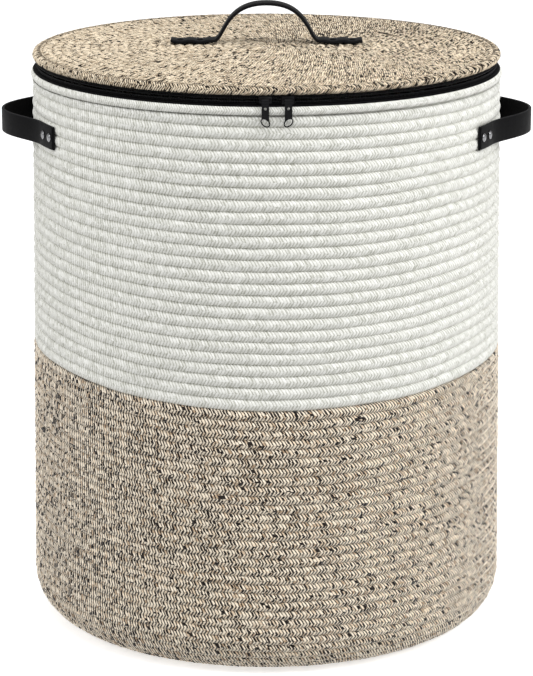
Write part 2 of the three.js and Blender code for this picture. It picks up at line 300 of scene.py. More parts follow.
def rope_finish(name, strands, dark_yarn, dark_share, shade, clumping, strand_height, groove_shade, gap_shade, fuzz):
    """Braided yarn: strands in a few tones, some dark yarns in them, and painted shade in the gaps between
    strands, the creases between rows and the grooves between yarns.
    """
    nodes, surface = new_material(name)
    place = nodes.add("ShaderNodeUVMap", uv_map="strand")
    along, round_rope, _ = nodes.separated(place.outputs[0])
    half = round_rope > 0.5
    within = along.do("FRACT")
    strand = along.do("FLOOR")
    yarn = (within * YARNS).do("FLOOR")
    start = nodes.random(nodes.combined(strand, half, 5.0)) * 2.0
    length_part = (round_rope * LENGTHS_ROUND + start).do("FLOOR")
    position = nodes.position()
    clump = nodes.noise(position, 45.0)
    patch = nodes.noise(position, 9.0)
    tone_draw = nodes.random(nodes.combined(strand, half * 3.0 + 20.0, length_part))
    ramp = nodes.add("ShaderNodeValToRGB", {"Fac": tone_draw}, stops=strands)
    yarn_draw = nodes.random(nodes.combined(strand, half * 3.0 + yarn * 7.0, length_part))
    likely = dark_share * (1.0 + (clump - 0.5) * clumping + (patch - 0.5) * clumping)
    yarn_share = (yarn < 0.5) * (FIRST_YARN_SHARE - OTHER_YARN_SHARE) + OTHER_YARN_SHARE
    darkened = yarn_draw < likely * yarn_share
    fibre = nodes.noise(nodes.combined(along * 9.0, round_rope * 26.0, half * 5.0), 1.0)
    lightness = nodes.random(nodes.combined(strand, half * 3.0, 11.0))
    from_middle = (within - 0.5).do("ABSOLUTE") * 2.0
    # Mask for painted shade in the gaps between neighbouring strands.
    edge = ((from_middle - GAP_START) * 2.0).clamped()
    # Painted shade in the creases where one row of rope meets the next, at the top and bottom of the rope's
    # section.
    crease = ((round_rope * 4.0 * math.pi).do("COSINE") * -0.5 + 0.5).do("POWER", 3.0)
    yarns = nodes.mix(darkened, ramp.outputs[0], colour(dark_yarn))
    from_yarn_middle = ((within * YARNS).do("FRACT") - 0.5).do("ABSOLUTE")
    # Painted shade in the grooves between the yarns of a strand.
    between = (from_yarn_middle * 2.0).do("POWER", 4.0) * groove_shade
    specks = nodes.noise(position, 1400.0, 1.0)
    # Random strength of the painted shade in the gaps, one per strand.
    depth_draw = nodes.random(nodes.combined(strand, half * 3.0 + 40.0, length_part))
    # Darkening amount: painted shade in the gaps, creases and grooves, then random fibre, strand and speck
    # tones on top.
    dark = edge * gap_shade * (0.3 + depth_draw * 1.4) + crease * CREASE_SHADE + between
    dark = dark + (0.5 - fibre) * FIBRE_SHADE
    dark = dark + (0.5 - lightness) * STRAND_SHADE + (0.5 - specks) * SPECK_SHADE
    # Painted shade and random darkening both multiply the yarn colours by the shade colour.
    base = nodes.mix(dark.clamped(), yarns, colour(shade), "MULTIPLY")
    nodes.feed(surface.inputs["Base Color"], base)
    set_surface(surface, roughness=0.92, specular_ior_level=0.2, sheen_weight=fuzz, sheen_roughness=0.4)
    height = 1.0 - from_middle.do("POWER", 2.2) + from_yarn_middle * -0.35 + fibre * 0.5
    nodes.feed(surface.inputs["Normal"], bump(nodes, height, 0.9, strand_height))


def woven_tape(name):
    """Black tape in a fine diagonal weave."""
    nodes, surface = new_material(name)
    position = nodes.position()
    x, y, z = nodes.separated(position)
    angle = x.do("ARCTAN2", y)
    ribs = ((angle * 330.0 + z * 2600.0).do("SINE") * 0.5 + 0.5) * ((z * 5200.0).do("SINE") * 0.3 + 0.7)
    dust = nodes.noise(position, 900.0)
    tone = nodes.mix(ribs * 0.6 + dust * 0.4, colour((0.001, 0.001, 0.0012)), colour((0.0045, 0.0045, 0.005)))
    nodes.feed(surface.inputs["Base Color"], tone)
    set_surface(surface, roughness=0.85, specular_ior_level=0.08)
    nodes.feed(surface.inputs["Normal"], bump(nodes, ribs, 0.5, 0.0003))


def leather(name, tone, edge_tone):
    """Black grained leather: fine pebbles, faint rubbing on the high grain, and paler strap edges, partly
    their own colour and partly painted highlight.
    """
    nodes, surface = new_material(name)
    position = nodes.position()
    pebbles = nodes.add(
        "ShaderNodeTexVoronoi", {"Vector": position, "Scale": 1500.0}, feature="SMOOTH_F1"
    )
    grain = nodes.out(pebbles, "Distance")
    creases = nodes.noise(position, 260.0, 4.0, 0.6)
    rubbed = nodes.noise(position, 60.0, 3.0)
    shade = (creases * 0.5 + rubbed * 0.5 - grain * 0.2).clamped()
    base = nodes.mix(shade, colour(tone), colour(edge_tone))
    # Narrow edges and rounded corners of the straps mixed towards the paler colour: partly edge colour,
    # partly painted highlight.
    edge_and_highlight_mask = nodes.out(nodes.add("ShaderNodeAttribute", attribute_name="edge_and_highlight_mask"), "Fac")
    base = nodes.mix(edge_and_highlight_mask * (0.55 + creases * 0.4), base, colour(LEATHER_EDGE_AND_HIGHLIGHT))
    nodes.feed(surface.inputs["Base Color"], base)
    nodes.feed(surface.inputs["Roughness"], 0.42 + creases * 0.2)
    set_surface(surface, specular_ior_level=0.035)
    nodes.feed(surface.inputs["Normal"], bump(nodes, grain * 0.6 + creases * 0.5, 0.35, 0.0004))


def metal(name, tone, roughness, metallic, shine):
    """Enamelled or plated metal with fine scuffs."""
    nodes, surface = new_material(name)
    position = nodes.position()
    scuffs = nodes.noise(position, 700.0, 3.0)
    smudges = nodes.noise(position, 120.0)
    brighter = tuple(min(1.0, value * 1.5) for value in tone)
    base = nodes.mix(smudges, colour(tone), colour(brighter))
    nodes.feed(surface.inputs["Base Color"], base)
    nodes.feed(surface.inputs["Roughness"], roughness + (scuffs - 0.5) * 0.25)
    set_surface(surface, metallic=metallic, specular_ior_level=shine)
    nodes.feed(surface.inputs["Normal"], bump(nodes, scuffs, 0.12, 0.0002))


def nylon(name):
    nodes, surface = new_material(name)
    position = nodes.position()
    grain = nodes.noise(position, 1500.0)
    base = nodes.mix(grain, colour((0.003, 0.003, 0.0035)), colour((0.008, 0.008, 0.009)))
    nodes.feed(surface.inputs["Base Color"], base)
    nodes.feed(surface.inputs["Roughness"], 0.45 + grain * 0.2)
    set_surface(surface, specular_ior_level=0.15)


def floor_finish(name, tone, glow):
    nodes, surface = new_material(name)
    position = nodes.position()
    mottle = nodes.noise(position, 3.0)
    base = nodes.mix(mottle, colour(tone), colour(tuple(value * 0.99 for value in tone)))
    nodes.feed(surface.inputs["Base Color"], base)
    set_surface(
        surface, roughness=0.9, specular_ior_level=0.1, emission_color=colour(WHITE), emission_strength=glow
    )


# ---- Geometry Nodes: rope laid in turns along a profile ----
ROPE_INPUTS = (
    # name, socket type, default
    ("First stitch", "NodeSocketFloat", 0.0),
    ("Stitches", "NodeSocketInt", 100),
    ("Steps in a stitch", "NodeSocketInt", 2),
    ("Sides", "NodeSocketInt", 10),
    ("End rings", "NodeSocketInt", 1),
    ("Stitches in first turn", "NodeSocketFloat", 450.0),
    ("Stitches lost per turn", "NodeSocketFloat", 0.0),
    ("Direction", "NodeSocketFloat", 1.0),
    ("Start", "NodeSocketFloat", 0.0),
    ("Climb", "NodeSocketFloat", 0.0),
    ("Width", "NodeSocketFloat", 0.009),
    ("Depth", "NodeSocketFloat", 0.0075),
    ("Roll", "NodeSocketFloat", 0.0),
    ("Slant", "NodeSocketFloat", 1.1),
    ("Relief", "NodeSocketFloat", 0.0005),
    ("Waves", "NodeSocketFloat", 0.0),
    ("Droop", "NodeSocketFloat", 0.0),
    ("Low edge", "NodeSocketFloat", -1.0),
    ("High edge", "NodeSocketFloat", 10.0),
    ("Seed", "NodeSocketFloat", 0.0),
    ("Bake bands", "NodeSocketFloat", 18.0),
    ("Material", "NodeSocketMaterial", None),
)


def new_geometry_tree(name, inputs):
    tree = bpy.data.node_groups.new(name, "GeometryNodeTree")
    tree.is_modifier = True
    tree.interface.new_socket("Geometry", in_out="INPUT", socket_type="NodeSocketGeometry")
    tree.interface.new_socket("Geometry", in_out="OUTPUT", socket_type="NodeSocketGeometry")
    for label, kind, default in inputs:
        socket = tree.interface.new_socket(label, in_out="INPUT", socket_type=kind)
        if default is not None:
            socket.default_value = default
    nodes = Nodes(tree)
    given = nodes.add("NodeGroupInput")
    result = nodes.add("NodeGroupOutput")
    return tree, nodes, given, result


def run_tree(host, tree, values):
    """Adds the tree to the host as a modifier, with its inputs set by identifier."""
    modifier = host.modifiers.new(tree.name, "NODES")
    modifier.node_group = tree
    identifiers = {
        item.name: item.identifier
        for item in tree.interface.items_tree
        if item.item_type == "SOCKET" and item.in_out == "INPUT"
    }
    for label, value in values.items():
        modifier[identifiers[label]] = value


LEAST_SWELL = 0.65
SWELL_RANGE = 0.7
FLANK_SHARE = 0.4
LUMPS_IN_A_STITCH = 0.06
SHOULDER = 0.06
BOW_BIAS = 0.6
EDGE_FADE = 0.06
BAND_MARGIN = 0.04
WELD = 0.00002


def rope_tree():
    """Rope whose middle follows a spiral of turns along the profile carried by the host mesh."""
    tree, nodes, given, result = new_geometry_tree("Rope in turns", ROPE_INPUTS)
    value = {name: nodes.out(given, name) for name, _, _ in ROPE_INPUTS}
    profile = nodes.add("GeometryNodeMeshToCurve", {"Mesh": given.outputs["Geometry"]})
    steps = value["Stitches"] * value["Steps in a stitch"]
    count = steps + 1 + value["End rings"] * 2
    grid = nodes.add(
        "GeometryNodeMeshGrid",
        {
            "Size X": count - 1,
            "Size Y": value["Sides"],
            "Vertices X": count,
            "Vertices Y": value["Sides"] + 1,
        },
    )
    grid_x, grid_y, _ = nodes.separated(nodes.add("GeometryNodeInputPosition").outputs[0])
    ring = grid_x + (count - 1) / 2.0 - value["End rings"]
    inside = ring.do("MAXIMUM", 0.0).do("MINIMUM", steps)
    open_end = 1.0 - (ring - inside).do("ABSOLUTE").do("MINIMUM", 1.0)
    around = grid_y / value["Sides"] + 0.5
    capture = nodes.add("GeometryNodeCaptureAttribute", {"Geometry": grid.outputs["Mesh"]}, domain="POINT")
    kept = {}
    for index, (label, number) in enumerate((("ring", inside), ("around", around), ("end", open_end)), 1):
        capture.capture_items.new("FLOAT", label)
        nodes.feed(capture.inputs[index], number)
        kept[label] = nodes.out(capture, index)

    stitch = value["First stitch"] + kept["ring"] / value["Steps in a stitch"]
    section = (kept["around"] - 0.5) * FULL_TURN
    apex = 1.0 - (kept["around"] - 0.5).do("ABSOLUTE") * 4.0
    shifted = stitch + value["Slant"] * apex
    first = value["Stitches in first turn"]
    lost = value["Stitches lost per turn"]
    root = (first * first - lost * shifted * 2.0).do("MAXIMUM", 0.0001).do("SQRT")
    turn = shifted * 2.0 / (first + root)
    angle = turn * FULL_TURN - math.pi
    theta = section + value["Roll"]

    side = kept["around"] > 0.5
    within = stitch.do("FRACT")
    cell = nodes.combined(stitch.do("FLOOR"), side, value["Seed"])
    swell = LEAST_SWELL + nodes.random(cell) * SWELL_RANGE
    flank = section.do("COSINE").do("ABSOLUTE") * (1.0 - FLANK_SHARE) + FLANK_SHARE
    relief = value["Relief"] * (within * math.pi).do("SINE") * swell * flank

    middle = value["Start"] + value["Climb"] * turn
    sideways = angle.do("SINE")
    backwards = angle.do("COSINE")
    wave_place = nodes.combined(sideways * 0.5, backwards * 0.5, middle * 3.0 + value["Seed"])
    wave = (nodes.noise(wave_place, 5.0) - 0.5) * 2.0 * value["Waves"]
    lump_place = nodes.combined(stitch * LUMPS_IN_A_STITCH, value["Seed"], 0.0)
    lump = (nodes.noise(lump_place, 1.0) - 0.5) * value["Waves"]
    sine = theta.do("SINE")
    cosine = theta.do("COSINE")
    across = sine * (1.0 + cosine * cosine * SHOULDER) * value["Width"] * 0.5 + relief * sine
    outward = cosine * value["Depth"] * 0.5 + relief * cosine
    low_fade = ((middle - value["Low edge"]) / EDGE_FADE).clamped()
    high_fade = ((value["High edge"] - middle) / EDGE_FADE).clamped()
    bow = ((angle * 2.0).do("COSINE") + BOW_BIAS) * (middle / value["High edge"] * math.pi).do("SINE")
    rest = middle - bow * value["Droop"]
    level = rest + across * kept["end"] + wave * low_fade * high_fade
    level = level.do("MAXIMUM", value["Low edge"]).do("MINIMUM", value["High edge"])
    lift = outward * kept["end"] - value["Depth"] * 0.5 + lump * low_fade * high_fade

    sample = nodes.add(
        "GeometryNodeSampleCurve", {"Curves": profile.outputs[0], "Length": level}, mode="LENGTH"
    )
    near, _, up = nodes.separated(sample.outputs["Position"])
    run_x, _, run_z = nodes.separated(sample.outputs["Tangent"])
    radius = near + run_z * lift
    height = (up - run_x * lift).do("MAXIMUM", 0.0)
    place = nodes.combined(radius * sideways * value["Direction"], radius * backwards * -1.0, height)
    moved = nodes.add(
        "GeometryNodeSetPosition", {"Geometry": capture.outputs["Geometry"], "Position": place}
    )

    strand = nodes.add(
        "GeometryNodeStoreNamedAttribute",
        {
            "Geometry": moved.outputs[0],
            "Name": "strand",
            "Value": nodes.combined(stitch, kept["around"], 0.0),
        },
        data_type="FLOAT2",
        domain="CORNER",
    )
    face_ring = nodes.add("GeometryNodeFieldOnDomain", {0: kept["ring"]}, data_type="FLOAT", domain="FACE")
    band_length = (steps / value["Bake bands"]).do("CEIL")
    band = (nodes.out(face_ring) / band_length).do("FLOOR")
    bake_u = (kept["ring"] - band * band_length) / band_length
    bake_v = (band + BAND_MARGIN + kept["around"] * (1.0 - 2.0 * BAND_MARGIN)) / value["Bake bands"]
    baking = nodes.add(
        "GeometryNodeStoreNamedAttribute",
        {
            "Geometry": strand.outputs[0],
            "Name": "OFBake",
            "Value": nodes.combined(bake_u * 0.998 + 0.001, bake_v, 0.0),
        },
        data_type="FLOAT2",
        domain="CORNER",
    )
    merged = nodes.add("GeometryNodeMergeByDistance", {"Geometry": baking.outputs[0], "Distance": WELD})
    nodes.close(given, result, merged.outputs[0])
    return tree


def rope(name, profile, finish, **values):
    """One length of rope as a plain mesh; the profile is a list of (radius, height)."""
    tree = bpy.data.node_groups.get("Rope in turns") or rope_tree()
    points = [(radius, 0.0, height) for radius, height in profile]
    edges = [(i, i + 1) for i in range(len(points) - 1)]
    host = new_object(name + "_path", mesh_of(name + "_path", points, edges))
    labels = {label.lower().replace(" ", "_"): label for label, _, _ in ROPE_INPUTS}
    settings = {labels[key]: value for key, value in values.items()}
    settings["Material"] = bpy.data.materials[finish]
    run_tree(host, tree, settings)
    piece = baked(host, name)
    face_outwards(piece.data)
    return piece


def profile_length(points):
    return sum(math.dist(a, b) for a, b in zip(points, points[1:]))


# ---- Settings ----
def distance(name, default, description):
    return FloatProperty(name=name, default=default, description=description, unit="LENGTH")


def plain(name, default, description):
    return FloatProperty(name=name, default=default, description=description)


def power(name, default, description):
    return FloatProperty(name=name, default=default, description=description, unit="POWER")


def turned(name, degrees, description):
    return FloatProperty(name=name, default=math.radians(degrees), description=description, subtype="ANGLE")


def tint(name, default, description):
    return FloatVectorProperty(name=name, default=default, description=description, subtype="COLOR", size=3)


def whole(name, default, description):
    return IntProperty(name=name, default=default, description=description)


class HamperRope(bpy.types.PropertyGroup):
    stitch: distance("Stitch", 0.0022, "Length of one braid stitch")
    wall_stitch: distance("Wall stitch", 0.0028, "Length of one braid stitch in the wall")
    lower_turns: whole("Brown turns", 32, "Turns of brown rope in the wall")
    upper_turns: whole("White turns", 25, "Turns of white rope in the wall")
    base_turns: whole("Base turns", 20, "Turns of rope in the base")
    lid_turns: whole("Lid turns", 24, "Turns of rope in the lid")
    relief: distance("Relief", 0.00055, "How far a strand stands out")
    waves: distance("Waves", 0.0017, "How far the rows wander")
    slant: plain("Slant", 2.0, "Stitches that each arm of a chevron leans")
    wall_slant: plain("Wall slant", 1.6, "Stitches that each arm of a chevron in the wall leans")
    corner_reach: distance("Corner reach", 0.036, "Foot corner, sideways")
    corner_rise: distance("Corner rise", 0.038, "Foot corner, upwards")
    droop: distance("Droop", 0.006, "How far the rows sink at the front and back")
    binding: distance("Binding", 0.0005, "Thickness of the tape over the rim")
    lid_crown: distance("Lid crown", 0.003, "Rise of the lid's middle")


class HamperLeather(bpy.types.PropertyGroup):
    tone: tint("Leather", (0.0008, 0.0008, 0.0009), "Leather colour")
    rubbed: tint("Rubbed leather", (0.0035, 0.0035, 0.004), "Colour of the worn grain")
    end_angle: turned("End angle", 29, "Side handle's end from its middle")
    lift_angle: turned("Lift angle", 20.5, "Where the side handle leaves the wall")
    foot_reach: distance("Lid handle foot", 0.046, "From the middle to where the lid handle rises")
    edge: distance("Rounded edge", 0.0007, "Rounding of the straps' edges")


class HamperStage(bpy.types.PropertyGroup):
    floor_tone: tint("Floor", (0.9, 0.9, 0.9), "Floor colour")
    floor_glow: plain("Floor glow", 0.5, "Light the floor gives of itself")
    sky: plain("Room light", 0.72, "Strength of the even light")
    key: power("Key light", 55.0, "Power of the main light")
    side: power("Side light", 24.0, "Power of the left light")
    overhead: power("Overhead light", 30.0, "Power of the high light")
    camera_distance: distance("Camera distance", 2.600, "From the axis")
    camera_height: distance("Camera height", 0.920, "Above the floor")
    camera_tilt: turned("Camera tilt", 14.58, "Downwards")
    camera_lens: plain("Camera lens", 160.6, "Focal length")


# ---- Ropes ----
TURNS_IN_A_PIECE = 6
WALL_DEPTH = 0.0076
RIM_DEPTH = 0.0092
BASE_DEPTH = 0.0074
LID_DEPTH = 0.0068
LID_EDGE_DEPTH = 0.0078
PAST_RIM = 0.02
UNDER_RIM = 0.0004
BINDING_DEGREES = (50, 106)
BINDING_STEP = 7
RING_SEGMENTS = 360


def wall_profile(settings):
    """The wall's outer face from the foot of the corner up past the rim, as (radius, height)."""
    reach = settings.corner_reach
    rise = settings.corner_rise
    steps = 24
    points = []
    for i in range(steps + 1):
        a = math.pi / 2 * i / steps
        points.append((FOOT_RADIUS - reach + reach * math.sin(a), rise - rise * math.cos(a)))
    slope = (FOOT_RADIUS - UPPER_WALL[1][0]) / (COLOUR_CHANGE - rise)
    points.append((FOOT_RADIUS - slope * (RIM_TOP + PAST_RIM - rise), RIM_TOP + PAST_RIM))
    return points


class HAMPER_OT_wall(bpy.types.Operator):
    """Coil the wall from brown and white rope"""

    bl_idname = "hamper.wall"
    bl_label = "Wall"

    def execute(self, context):
        settings = context.scene.hamper_rope
        profile = wall_profile(settings)
        corner = profile_length(profile[:-1])
        total = profile_length(profile)
        straight = RIM_TOP + PAST_RIM - settings.corner_rise
        per_height = (total - corner) / straight
        change = corner + (COLOUR_CHANGE - settings.corner_rise) * per_height
        top = corner + (RIM_BOTTOM + UNDER_RIM - settings.corner_rise) * per_height
        stitches = round(FULL_TURN * RIM_RADIUS / settings.wall_stitch)
        pitch = change / (settings.lower_turns + 0.5)
        common = {
            "stitches_in_first_turn": stitches,
            "depth": WALL_DEPTH,
            "waves": settings.waves,
            "droop": settings.droop,
            "slant": -settings.wall_slant,
            "low_edge": 0.0,
            "high_edge": top,
        }
        white = (top - change) / settings.upper_turns
        white_start = pitch * settings.lower_turns
        brown_turns = settings.lower_turns
        white_turns = settings.upper_turns + 1
        parts = (
            # label, turns, foot, climb, finish, slot, seed, share of the relief, width over climb
            ("lower_wall", brown_turns, 0.0, pitch, "heather_rope", "brown_rope", 1.0, 1.1, 1.13),
            ("upper_wall", white_turns, white_start, white, "cotton_rope", "white_rope", 2.0, 0.5, 1.14),
        )
        for label, turns, foot, climb, finish, slot, seed, share, plump in parts:
            for number, begin in enumerate(range(0, turns, TURNS_IN_A_PIECE)):
                here = min(TURNS_IN_A_PIECE, turns - begin)
                piece = rope(
                    f"{label}_rope_{number + 1}", profile, finish,
                    first_stitch=begin * stitches, stitches=here * stitches,
                    start=foot + climb / 2, climb=climb, width=climb * plump, seed=seed,
                    relief=settings.relief * share, direction=-1.0, **common,
                )
                finished(piece, "basket", slot, [f"{label}_coil"] if number == 0 else [])
        return {"FINISHED"}


class HAMPER_OT_rim(bpy.types.Operator):
    """Lay the rim's rope on the wall"""

    bl_idname = "hamper.rim"
    bl_label = "Rim"

    def execute(self, context):
        settings = context.scene.hamper_rope
        height = RIM[1][2] - RIM[0][2]
        tape = settings.binding
        face = RIM_RADIUS - tape
        profile = [(face, RIM[0][2] - PAST_RIM), (face, RIM[1][2] + PAST_RIM)]
        stitches = round(FULL_TURN * RIM_RADIUS / settings.stitch)
        piece = rope(
            "rim_rope_braid", profile, "cotton_rope",
            first_stitch=0.0, stitches=stitches, end_rings=0, sides=16, stitches_in_first_turn=stitches,
            start=PAST_RIM + (height - tape) / 2, climb=0.0, width=height - tape, depth=RIM_DEPTH,
            relief=settings.relief * 0.55, waves=0.0, slant=settings.slant, seed=3.0,
        )
        finished(piece, "basket", "white_rope", ["rim_rope"])
        middle = RIM[0][2] + (height - tape) / 2
        first, last = BINDING_DEGREES
        outward = range(first, last + 1, BINDING_STEP)
        outline = []
        for offset, angles in ((tape, outward), (0.0, reversed(outward))):
            for degrees in angles:
                a = math.radians(degrees)
                radius = face - RIM_DEPTH / 2 + (RIM_DEPTH / 2 + offset) * math.cos(a)
                outline.append((radius, middle + ((height - tape) / 2 + offset) * math.sin(a)))
        piece = revolved("rim_binding", outline, RING_SEGMENTS)
        paint(piece, "zip_weave")
        finished(piece, "basket", "zip_tape")
        return {"FINISHED"}


class HAMPER_OT_base(bpy.types.Operator):
    """Coil the flat base from brown rope"""

    bl_idname = "hamper.base"
    bl_label = "Base"

    def execute(self, context):
        settings = context.scene.hamper_rope
        radius = FOOT_RADIUS - settings.corner_reach
        pitch = radius / settings.base_turns
        lost = -FULL_TURN * pitch / settings.stitch
        first = FULL_TURN * (pitch / 2) / settings.stitch
        turns = settings.base_turns
        count = int(first * turns - lost * turns * turns / 2)
        piece = rope(
            "base_rope", [(0.0, 0.0), (radius + 0.02, 0.0)], "heather_rope",
            first_stitch=0.0, stitches=count, steps_in_a_stitch=1, sides=10, stitches_in_first_turn=first,
            stitches_lost_per_turn=lost, start=pitch / 2, climb=pitch, width=pitch * 1.03, depth=BASE_DEPTH,
            relief=0.0, waves=0.0, slant=settings.slant, low_edge=0.0, high_edge=radius, seed=4.0,
        )
        finished(piece, "basket", "brown_rope", ["base_coil"])
        return {"FINISHED"}


def lid_top(settings, radius):
    """Height of the lid's upper face, crowned towards its middle."""
    return LID[1][2] - settings.lid_crown * (radius / LID_RADIUS) ** 2


class HAMPER_OT_lid(bpy.types.Operator):
    """Coil the lid from brown rope, inwards from its edge"""

    bl_idname = "hamper.lid"
    bl_label = "Lid"

    def execute(self, context):
        settings = context.scene.hamper_rope
        start_radius = LID_RADIUS - LID_EDGE_DEPTH * 0.82
        steps = 40
        profile = []
        for i in range(steps + 1):
            radius = start_radius * (1 - i / steps)
            profile.append((radius, lid_top(settings, radius)))
        length = profile_length(profile)
        pitch = length / settings.lid_turns
        lost = FULL_TURN * pitch / settings.stitch
        first = FULL_TURN * (length + pitch / 2) / settings.stitch
        turns = settings.lid_turns + 0.55
        count = int(first * turns - lost * turns * turns / 2)
        half = count // 2
        for i, (begin, many) in enumerate(((0, half), (half, count - half))):
            piece = rope(
                f"lid_rope_{i + 1}", profile, "lid_heather_rope", first_stitch=float(begin), stitches=many,
                stitches_in_first_turn=first, stitches_lost_per_turn=lost, start=-pitch / 2, climb=pitch,
                width=pitch * 1.2, depth=LID_DEPTH,
                relief=settings.relief * 0.8, waves=0.0004, slant=settings.slant, low_edge=0.0,
                high_edge=length + 0.02, seed=5.0,
            )
            finished(piece, "lid", "brown_rope", ["lid_coil"] if i == 0 else [])
        top = lid_top(settings, LID_RADIUS)
        middle = (top + LID_BOTTOM) / 2
        stitches = round(FULL_TURN * LID_RADIUS / settings.stitch)
        piece = rope(
            "lid_edge_rope", [(LID_RADIUS, middle - 0.03), (LID_RADIUS, middle + 0.03)], "lid_heather_rope",
            first_stitch=0.0, stitches=stitches, end_rings=0, sides=16, stitches_in_first_turn=stitches,
            start=0.03, climb=0.0, width=top - LID_BOTTOM, depth=LID_EDGE_DEPTH, roll=math.radians(18),
            relief=settings.relief, waves=0.0, slant=settings.slant, seed=6.0,
        )
        finished(piece, "lid", "brown_rope")
        return {"FINISHED"}


# ---- Straps ----
def node_middle(node):
    low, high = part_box(node)
    return (Vector(low) + Vector(high)) / 2


def band(name, path, across, half_width, thickness, edge):
    """A strap with rounded edges swept along the path; across is the strap's width direction."""
    corner_steps = 4
    outline = []
    for begin, (cx, cn) in enumerate(((1, 1), (-1, 1), (-1, -1), (1, -1))):
        for k in range(corner_steps + 1):
            a = math.pi / 2 * (begin + k / corner_steps)
            w = cx * (half_width - edge) + edge * math.cos(a)
            outline.append((w, cn * (thickness / 2 - edge) + edge * math.sin(a)))
    points = []
    last = len(path) - 1
    rings = [(0, edge), *[(i, 0.0) for i in range(last + 1)], (last, edge)]
    for index, inset in rings:
        before = path[max(index - 1, 0)]
        after = path[min(index + 1, last)]
        run = (after - before).normalized()
        facing = run.cross(across).normalized()
        centre = path[index]
        if inset:
            centre = centre + run * (inset if index else -inset) * 0.7
        shrink = (half_width - inset) / half_width
        thin = (thickness - 2 * inset) / thickness
        for w, n in outline:
            points.append(centre + across * w * shrink + facing * n * thin)
    size = len(outline)
    faces = []
    for r in range(len(rings) - 1):
        for k in range(size):
            a = r * size + k
            b = r * size + (k + 1) % size
            faces.append((a, b, b + size, a + size))
    last_strip = len(faces)
    faces.append(tuple(range(size)))
    faces.append(tuple(reversed(range((len(rings) - 1) * size, len(rings) * size))))
    mesh = mesh_of(name, points, (), faces)
    work = bmesh.new()
    work.from_mesh(mesh)
    bmesh.ops.recalc_face_normals(work, faces=work.faces)
    work.to_mesh(mesh)
    work.free()
    face_outwards(mesh)
    smooth_faces(mesh)
    # Mask of the narrow edge faces and rounded corners, where the leather finish lays its paler edge colour
    # and painted highlight.
    edge_and_highlight_mask = mesh.attributes.new("edge_and_highlight_mask", "FLOAT", "FACE")
    broad = (corner_steps, 3 * corner_steps + 2)
    for index, item in enumerate(edge_and_highlight_mask.data):
        item.value = 0.0 if index < last_strip and index % size in broad else 1.0
    return new_object(name, mesh)


def bezier(a, b, c, d, steps):
    """Points on one cubic curve, its first point left out."""
    points = []
    for i in range(1, steps + 1):
        t = i / steps
        s = 1 - t
        points.append(a * s**3 + b * 3 * s * s * t + c * 3 * s * t * t + d * t**3)
    return points


SIDE_STRAP_THICKNESS = 0.0024
SIDE_LOOP_LEAVING = 0.021
SIDE_LOOP_FLATNESS = 0.033
LID_STRAP_THICKNESS = 0.0026
LID_CAP_RADIUS = 0.0034
RIVET_SPAN = 0.0085
RIPPLE_HEIGHT = 0.0011


def strap_seat(settings):
    """Distance from the axis to the outer face of the side handles' ends."""
    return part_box("side_strap_right")[1][1] / math.sin(settings.end_angle)


class HAMPER_OT_side_handles(bpy.types.Operator):
    """Cut the two side handles and bow them off the wall"""

    bl_idname = "hamper.side_handles"
    bl_label = "Side handles"

    def execute(self, context):
        settings = context.scene.hamper_leather
        low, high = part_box("side_strap_right")
        thickness = SIDE_STRAP_THICKNESS
        tip = high[0] - thickness / 2
        seat = strap_seat(settings) - thickness / 2
        middle = (low[2] + high[2]) / 2
        arc_steps = 14
        turn = (settings.lift_angle - settings.end_angle) / arc_steps
        leaving = settings.lift_angle + math.radians(3)
        for side, sign in (("left", -1), ("right", 1)):
            angles = [settings.end_angle + turn * i for i in range(arc_steps + 1)]
            arc = [Vector((seat * math.cos(a) * sign, seat * math.sin(a), 0.0)) for a in angles]
            lift = arc[-1]
            direction = Vector((math.sin(leaving) * sign, -math.cos(leaving), 0.0))
            loop = bezier(
                lift,
                lift + direction * SIDE_LOOP_LEAVING,
                Vector((tip * sign, SIDE_LOOP_FLATNESS, 0.0)),
                Vector((tip * sign, 0.0, 0.0)),
                28,
            )
            half = arc + loop
            mirrored = [Vector((p.x, -p.y, 0.0)) for p in reversed(half[:-1])]
            path = [p + Vector((0, 0, middle)) for p in half + mirrored]
            half_width = (high[2] - low[2]) / 2
            piece = band(
                f"side_handle_{side}", path, Vector((0, 0, 1)), half_width, thickness, settings.edge
            )
            paint(piece, "handle_leather")
            finished(piece, "basket", "black_leather", [f"side_strap_{side}"])
        return {"FINISHED"}


class HAMPER_OT_lid_handle(bpy.types.Operator):
    """Cut the lid's handle and bow it over the middle of the lid"""

    bl_idname = "hamper.lid_handle"
    bl_label = "Lid handle"

    def execute(self, context):
        settings = context.scene.hamper_leather
        low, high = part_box("lid_strap")
        thickness = LID_STRAP_THICKNESS
        foot = low[2] + thickness / 2
        crest = high[2] - thickness / 2
        end = high[0]
        reach = settings.foot_reach
        rivets = [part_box(f"lid_rivet_{i}")[0][0] + LID_CAP_RADIUS for i in RIVETS]

        def ripple(x):
            near = min(abs(x - place) for place in rivets)
            return RIPPLE_HEIGHT * (1 - math.cos(min(near / RIVET_SPAN, 1.0) * math.pi)) / 2

        flat = [Vector((-end + (end - reach) * i / 22, 0.0, 0.0)) for i in range(23)]
        for p in flat:
            p.z = foot + ripple(p.x)
        rise = bezier(
            flat[-1],
            flat[-1] + Vector((0.010, 0.0, 0.0004)),
            Vector((0.008 - reach, 0.0, crest)),
            Vector((0.0, 0.0, crest)),
            30,
        )
        half = flat + rise
        path = half + [Vector((-p.x, 0.0, p.z)) for p in reversed(half[:-1])]
        middle = (low[1] + high[1]) / 2
        for p in path:
            p.y = middle
        piece = band("lid_handle", path, Vector((0, 1, 0)), (high[1] - low[1]) / 2, thickness, settings.edge)
        paint(piece, "handle_leather")
        finished(piece, "lid", "black_leather", ["lid_strap"])
        return {"FINISHED"}


# ---- Rivets and zip ----
RIVET_INPUTS = (
    ("Radius", "NodeSocketFloat", 0.004),
    ("Height", "NodeSocketFloat", 0.0016),
    ("Material", "NodeSocketMaterial", None),
)


DOME_SHARE = 0.86
FLANGE_SHARE = 0.42


